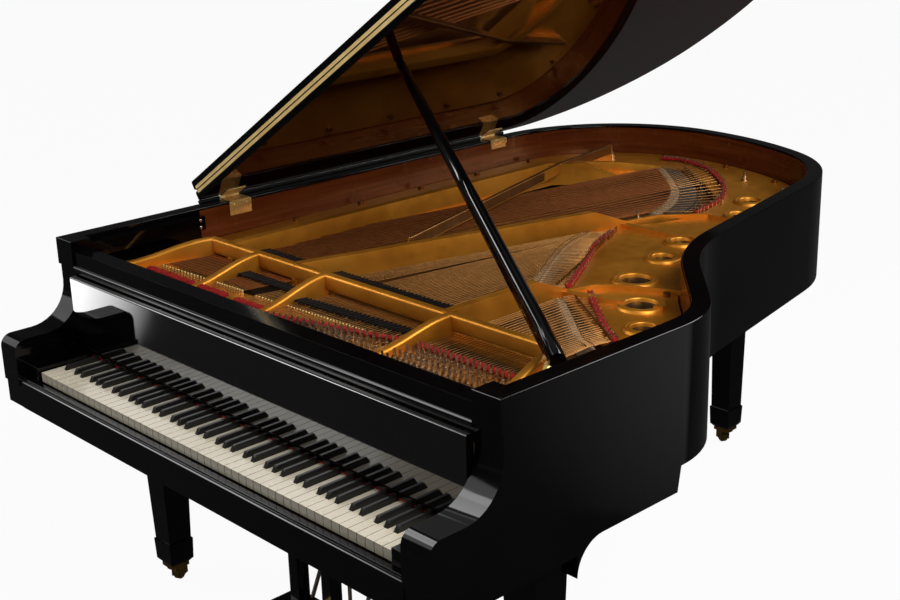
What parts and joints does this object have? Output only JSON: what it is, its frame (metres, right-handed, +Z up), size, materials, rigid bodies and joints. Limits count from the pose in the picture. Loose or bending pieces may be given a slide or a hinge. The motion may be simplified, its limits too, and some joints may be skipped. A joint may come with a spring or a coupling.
{
  "type": "grand piano",
  "caption": "Black polished grand piano with raised lid on a prop, open fallboard, gold iron frame over strings, playable keys, sprung pedals and caster legs.",
  "frame": {"origin": "on the floor under the middle of the box around the open piano", "axes": "+Z up, +Y from the keyboard to the tail, +X from the bass end to the treble end"},
  "size_m": [1.5088, 2.142, 1.8055],
  "materials": {
    "black_polish": "high gloss black polyester on laminated wood",
    "case_timber": "plain sealed timber",
    "mahogany": "polished mahogany veneer",
    "spruce": "varnished spruce",
    "maple": "sealed maple",
    "gold_casting": "cast iron with gold bronze lacquer",
    "nickel": "nickel plated",
    "brass_metal": "polished brass",
    "copper_wire": "copper winding on steel",
    "string_steel": "drawn steel wire",
    "red_felt": "woven felt",
    "damper_timber": "black lacquered timber",
    "hammer_felt": "felt on a timber head and shank",
    "ivory_key": "timber stick with an ivory coloured top",
    "ebony": "satin black"
  },
  "bodies": {
    "case": {"outer_rim": "black_polish", "inner_case": "case_timber", "rim_veneer": "mahogany", "keybed": "case_timber", "key_slip": "black_polish", "key_blocks": "black_polish", "front_rails": "black_polish", "pinblock": "case_timber", "soundboard": "spruce", "bridges": "maple", "iron_frame": "gold_casting", "frame_fasteners": "nickel", "tuning_pins": "nickel", "agraffes": "brass_metal", "bass_strings": "copper_wire", "plain_strings": "string_steel", "string_felts": "red_felt", "case_hardware": "brass_metal", "lyre_frame": "black_polish", "lyre_rods": "brass_metal", "caster_ferrules": "brass_metal", "left_leg": "black_polish", "right_leg": "black_polish", "tail_leg": "black_polish"},
    "lid": {"lid_main": "black_polish", "lid_hinge_leaves": "brass_metal"},
    "flap": {"lid_flap": "black_polish", "flap_hinge_leaf": "brass_metal"},
    "prop": {"lid_prop": "black_polish"},
    "fallboard": {"fallboard": "black_polish", "fallboard_felt": "red_felt"},
    "keyboard": {"key_frame": "case_timber", "action_frame": "brass_metal"},
    "hammers": {"hammers": "hammer_felt"},
    "dampers": {"dampers": "damper_timber"},
    "keys_c": {"keys_c": "ivory_key"},
    "keys_c_sharp": {"keys_c_sharp": "ebony"},
    "keys_d": {"keys_d": "ivory_key"},
    "keys_d_sharp": {"keys_d_sharp": "ebony"},
    "keys_e": {"keys_e": "ivory_key"},
    "keys_f": {"keys_f": "ivory_key"},
    "keys_f_sharp": {"keys_f_sharp": "ebony"},
    "keys_g": {"keys_g": "ivory_key"},
    "keys_g_sharp": {"keys_g_sharp": "ebony"},
    "keys_a": {"keys_a": "ivory_key"},
    "keys_a_sharp": {"keys_a_sharp": "ebony"},
    "keys_b": {"keys_b": "ivory_key"},
    "left_caster_fork": {"left_caster_fork": "brass_metal"},
    "left_caster_wheel": {"left_caster_wheel": "brass_metal"},
    "right_caster_fork": {"right_caster_fork": "brass_metal"},
    "right_caster_wheel": {"right_caster_wheel": "brass_metal"},
    "tail_caster_fork": {"tail_caster_fork": "brass_metal"},
    "tail_caster_wheel": {"tail_caster_wheel": "brass_metal"},
    "left_pedal": {"left_pedal": "brass_metal"},
    "left_pedal_rod": {"left_pedal_rod": "brass_metal"},
    "middle_pedal": {"middle_pedal": "brass_metal"},
    "middle_pedal_rod": {"middle_pedal_rod": "brass_metal"},
    "right_pedal": {"right_pedal": "brass_metal"},
    "right_pedal_rod": {"right_pedal_rod": "brass_metal"}
  },
  "joints": [
    {"name": "lid_hinge", "type": "hinge", "parent": "case", "child": "lid", "pos_m": [-0.7306, -0.396, 0.9625], "axis": [0, 1, 0], "range_deg": [0, 32.5]},
    {"name": "flap_hinge", "type": "hinge", "parent": "lid", "child": "flap", "pos_m": [-0.1179, -0.49255, 1.38733], "axis": [0.8434, 0, 0.5373], "range_deg": [0, 180]},
    {"name": "prop_pivot", "type": "hinge", "parent": "case", "child": "prop", "pos_m": [0.6424, -0.649, 0.946], "axis": [0.2935, -0.7187, -0.6304], "range_deg": [0, 89.59]},
    {"name": "fallboard_hinge", "type": "hinge", "parent": "case", "child": "fallboard", "pos_m": [0.0144, -0.905, 0.718], "axis": [1, 0, 0], "range_deg": [0, 90]},
    {"name": "keyboard_shift", "type": "slide", "parent": "case", "child": "keyboard", "axis": [1, 0, 0], "range_m": [0, 0.003], "stiffness_N_per_m": 4000, "springref_m": -0.004},
    {"name": "hammer_swing", "type": "hinge", "parent": "keyboard", "child": "hammers", "pos_m": [0.0144, -0.721, 0.79], "axis": [1, 0, 0], "range_deg": [0, 25]},
    {"name": "damper_lift", "type": "slide", "parent": "case", "child": "dampers", "axis": [0, 0, 1], "range_m": [0, 0.0082]},
    {"name": "key_c_pivot", "type": "hinge", "parent": "keyboard", "child": "keys_c", "pos_m": [0.0144, -0.816, 0.666], "axis": [1, 0, 0], "range_deg": [0, 2.5], "stiffness_Nm_per_rad": 12, "springref_deg": -5.73},
    {"name": "key_c_sharp_pivot", "type": "hinge", "parent": "keyboard", "child": "keys_c_sharp", "pos_m": [0.0144, -0.816, 0.666], "axis": [1, 0, 0], "range_deg": [0, 2.5], "stiffness_Nm_per_rad": 12, "springref_deg": -5.73},
    {"name": "key_d_pivot", "type": "hinge", "parent": "keyboard", "child": "keys_d", "pos_m": [0.0144, -0.816, 0.666], "axis": [1, 0, 0], "range_deg": [0, 2.5], "stiffness_Nm_per_rad": 12, "springref_deg": -5.73},
    {"name": "key_d_sharp_pivot", "type": "hinge", "parent": "keyboard", "child": "keys_d_sharp", "pos_m": [0.0144, -0.816, 0.666], "axis": [1, 0, 0], "range_deg": [0, 2.5], "stiffness_Nm_per_rad": 12, "springref_deg": -5.73},
    {"name": "key_e_pivot", "type": "hinge", "parent": "keyboard", "child": "keys_e", "pos_m": [0.0144, -0.816, 0.666], "axis": [1, 0, 0], "range_deg": [0, 2.5], "stiffness_Nm_per_rad": 12, "springref_deg": -5.73},
    {"name": "key_f_pivot", "type": "hinge", "parent": "keyboard", "child": "keys_f", "pos_m": [0.0144, -0.816, 0.666], "axis": [1, 0, 0], "range_deg": [0, 2.5], "stiffness_Nm_per_rad": 12, "springref_deg": -5.73},
    {"name": "key_f_sharp_pivot", "type": "hinge", "parent": "keyboard", "child": "keys_f_sharp", "pos_m": [0.0144, -0.816, 0.666], "axis": [1, 0, 0], "range_deg": [0, 2.5], "stiffness_Nm_per_rad": 12, "springref_deg": -5.73},
    {"name": "key_g_pivot", "type": "hinge", "parent": "keyboard", "child": "keys_g", "pos_m": [0.0144, -0.816, 0.666], "axis": [1, 0, 0], "range_deg": [0, 2.5], "stiffness_Nm_per_rad": 12, "springref_deg": -5.73},
    {"name": "key_g_sharp_pivot", "type": "hinge", "parent": "keyboard", "child": "keys_g_sharp", "pos_m": [0.0144, -0.816, 0.666], "axis": [1, 0, 0], "range_deg": [0, 2.5], "stiffness_Nm_per_rad": 12, "springref_deg": -5.73},
    {"name": "key_a_pivot", "type": "hinge", "parent": "keyboard", "child": "keys_a", "pos_m": [0.0144, -0.816, 0.666], "axis": [1, 0, 0], "range_deg": [0, 2.5], "stiffness_Nm_per_rad": 12, "springref_deg": -5.73},
    {"name": "key_a_sharp_pivot", "type": "hinge", "parent": "keyboard", "child": "keys_a_sharp", "pos_m": [0.0144, -0.816, 0.666], "axis": [1, 0, 0], "range_deg": [0, 2.5], "stiffness_Nm_per_rad": 12, "springref_deg": -5.73},
    {"name": "key_b_pivot", "type": "hinge", "parent": "keyboard", "child": "keys_b", "pos_m": [0.0144, -0.816, 0.666], "axis": [1, 0, 0], "range_deg": [0, 2.5], "stiffness_Nm_per_rad": 12, "springref_deg": -5.73},
    {"name": "left_pedal_pivot", "type": "hinge", "parent": "case", "child": "left_pedal", "pos_m": [0.0144, -0.751, 0.129], "axis": [1, 0, 0], "range_deg": [0, 5.01], "stiffness_Nm_per_rad": 30, "springref_deg": -5.73},
    {"name": "left_rod_lift", "type": "slide", "parent": "case", "child": "left_pedal_rod", "axis": [0, 0, 1], "range_m": [0, 0.0036]},
    {"name": "middle_pedal_pivot", "type": "hinge", "parent": "case", "child": "middle_pedal", "pos_m": [0.0144, -0.751, 0.129], "axis": [1, 0, 0], "range_deg": [0, 5], "stiffness_Nm_per_rad": 30, "springref_deg": -5.73},
    {"name": "middle_rod_lift", "type": "slide", "parent": "case", "child": "middle_pedal_rod", "axis": [0, 0, 1], "range_m": [0, 0.0036]},
    {"name": "right_pedal_pivot", "type": "hinge", "parent": "case", "child": "right_pedal", "pos_m": [0.0144, -0.751, 0.129], "axis": [1, 0, 0], "range_deg": [0, 5], "stiffness_Nm_per_rad": 30, "springref_deg": -5.73},
    {"name": "right_rod_lift", "type": "slide", "parent": "case", "child": "right_pedal_rod", "axis": [0, 0, 1], "range_m": [0, 0.0036]},
    {"name": "left_caster_swivel", "type": "hinge", "parent": "case", "child": "left_caster_fork", "pos_m": [-0.6296, -0.719, 0.02], "axis": [0, 0, 1], "continuous": true},
    {"name": "left_caster_roll", "type": "hinge", "parent": "left_caster_fork", "child": "left_caster_wheel", "pos_m": [-0.63551, -0.70631, 0.02], "axis": [0.9063, 0.4226, 0], "continuous": true},
    {"name": "right_caster_swivel", "type": "hinge", "parent": "case", "child": "right_caster_fork", "pos_m": [0.6584, -0.719, 0.02], "axis": [0, 0, 1], "continuous": true},
    {"name": "right_caster_roll", "type": "hinge", "parent": "right_caster_fork", "child": "right_caster_wheel", "pos_m": [0.66643, -0.70753, 0.02], "axis": [0.8192, -0.5736, 0], "continuous": true},
    {"name": "tail_caster_swivel", "type": "hinge", "parent": "case", "child": "tail_caster_fork", "pos_m": [-0.10548, 0.96962, 0.02], "axis": [0, 0, 1], "continuous": true},
    {"name": "tail_caster_roll", "type": "hinge", "parent": "tail_caster_fork", "child": "tail_caster_wheel", "pos_m": [-0.11817, 0.97554, 0.02], "axis": [0.4226, 0.9063, 0], "continuous": true}
  ],
  "couplings": [
    {"joint": "prop_pivot", "follows": "lid_hinge", "ratio": 2.7564},
    {"joint": "left_pedal_pivot", "follows": "keyboard_shift", "rad_per_m": 29.089},
    {"joint": "left_rod_lift", "follows": "keyboard_shift", "ratio": 1.1636},
    {"joint": "damper_lift", "follows": "right_pedal_pivot", "m_per_rad": 0.0917},
    {"joint": "middle_rod_lift", "follows": "middle_pedal_pivot", "m_per_rad": 0.04},
    {"joint": "right_rod_lift", "follows": "right_pedal_pivot", "m_per_rad": 0.04}
  ]
}
